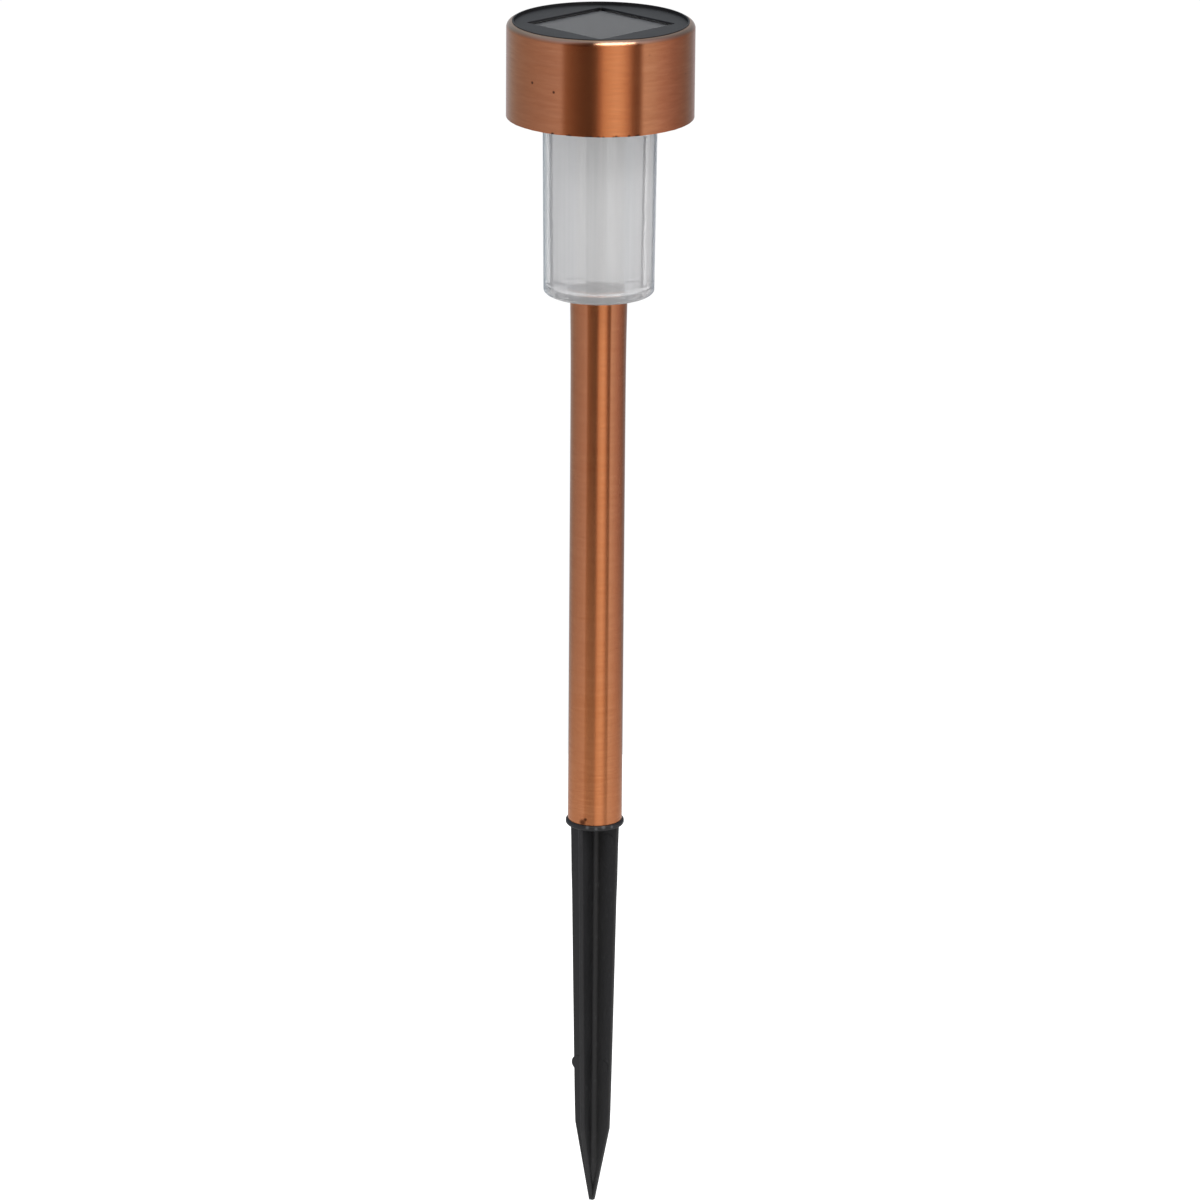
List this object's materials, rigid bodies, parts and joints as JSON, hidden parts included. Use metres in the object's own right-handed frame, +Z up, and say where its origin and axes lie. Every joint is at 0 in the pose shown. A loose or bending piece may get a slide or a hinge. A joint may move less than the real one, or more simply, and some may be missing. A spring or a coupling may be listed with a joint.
{
  "type": "solar path light",
  "caption": "Solar path light with a copper-finish cap, a square solar panel on top, a clear fluted lens, a tube pole and a finned ground stake.",
  "frame": {"origin": "on the light's axis at the ground line, the underside of the stake's flange", "axes": "+Z up along the pole, -Y towards the front of the light, +X to the right seen from the front"},
  "size_m": [0.054, 0.054, 0.3619],
  "materials": {
    "copper_finish": "brushed, copper-coloured plating",
    "black_moulding": "moulded, light satin",
    "stake_moulding": "moulded, light satin",
    "clear_moulding": "clear polished moulding",
    "clear_resin": "poured clear resin",
    "silicon": "dark grey wafer",
    "panel_board": "black lacquered board",
    "circuit_board": "green lacquered board",
    "seal_rubber": "soft, matte",
    "zinc_steel": "zinc plated",
    "nickel_strip": "nickel plated",
    "battery_sleeve": "shrink sleeve",
    "chip_black": "moulded epoxy",
    "coil_lacquer": "lacquered",
    "lamp_resin": "water-clear epoxy",
    "tinned_wire": "tinned",
    "red_insulation": "extruded",
    "black_insulation": "extruded",
    "yellow_insulation": "extruded",
    "switch_case": "moulded",
    "switch_knob": "moulded, pale grey"
  },
  "bodies": {
    "stake": {"ground_stake": "stake_moulding"},
    "pole": {"pole_tube": "copper_finish"},
    "lens_cup": {"lens": "clear_moulding"},
    "seal": {"lens_seal": "seal_rubber"},
    "head": {"cap_shell": "copper_finish", "head_housing": "black_moulding", "cell_board": "panel_board", "solar_cell": "silicon", "cell_cover": "clear_resin", "base_plate": "black_moulding", "base_screws": "zinc_steel", "battery": "battery_sleeve", "positive_contact": "nickel_strip", "negative_contact": "nickel_strip", "circuit_board": "circuit_board", "board_screws": "zinc_steel", "driver_chip": "chip_black", "inductor": "coil_lacquer", "led": "lamp_resin", "led_legs": "tinned_wire", "switch_body": "switch_case", "switch_pins": "tinned_wire", "solar_wire_red": "red_insulation", "solar_wire_black": "black_insulation", "battery_wire_red": "red_insulation", "battery_wire_black": "black_insulation", "switch_wires": "yellow_insulation"},
    "switch": {"switch_slider": "switch_knob"}
  },
  "joints": [
    {"name": "pole_lift", "type": "slide", "parent": "stake", "child": "pole", "axis": [0, 0, 1], "range_m": [0, 0.022]},
    {"name": "lens_lift", "type": "slide", "parent": "pole", "child": "lens_cup", "axis": [0, 0, 1], "range_m": [0, 0.016]},
    {"name": "head_turn", "type": "hinge", "parent": "lens_cup", "child": "seal", "pos_m": [0, 0, 0.2156], "axis": [0, 0, 1], "continuous": true},
    {"name": "head_lift", "type": "slide", "parent": "seal", "child": "head", "axis": [0, 0, 1], "range_m": [0, 0.009]},
    {"name": "switch_throw", "type": "slide", "parent": "head", "child": "switch", "axis": [0, 1, 0], "range_m": [0, 0.002]}
  ]
}
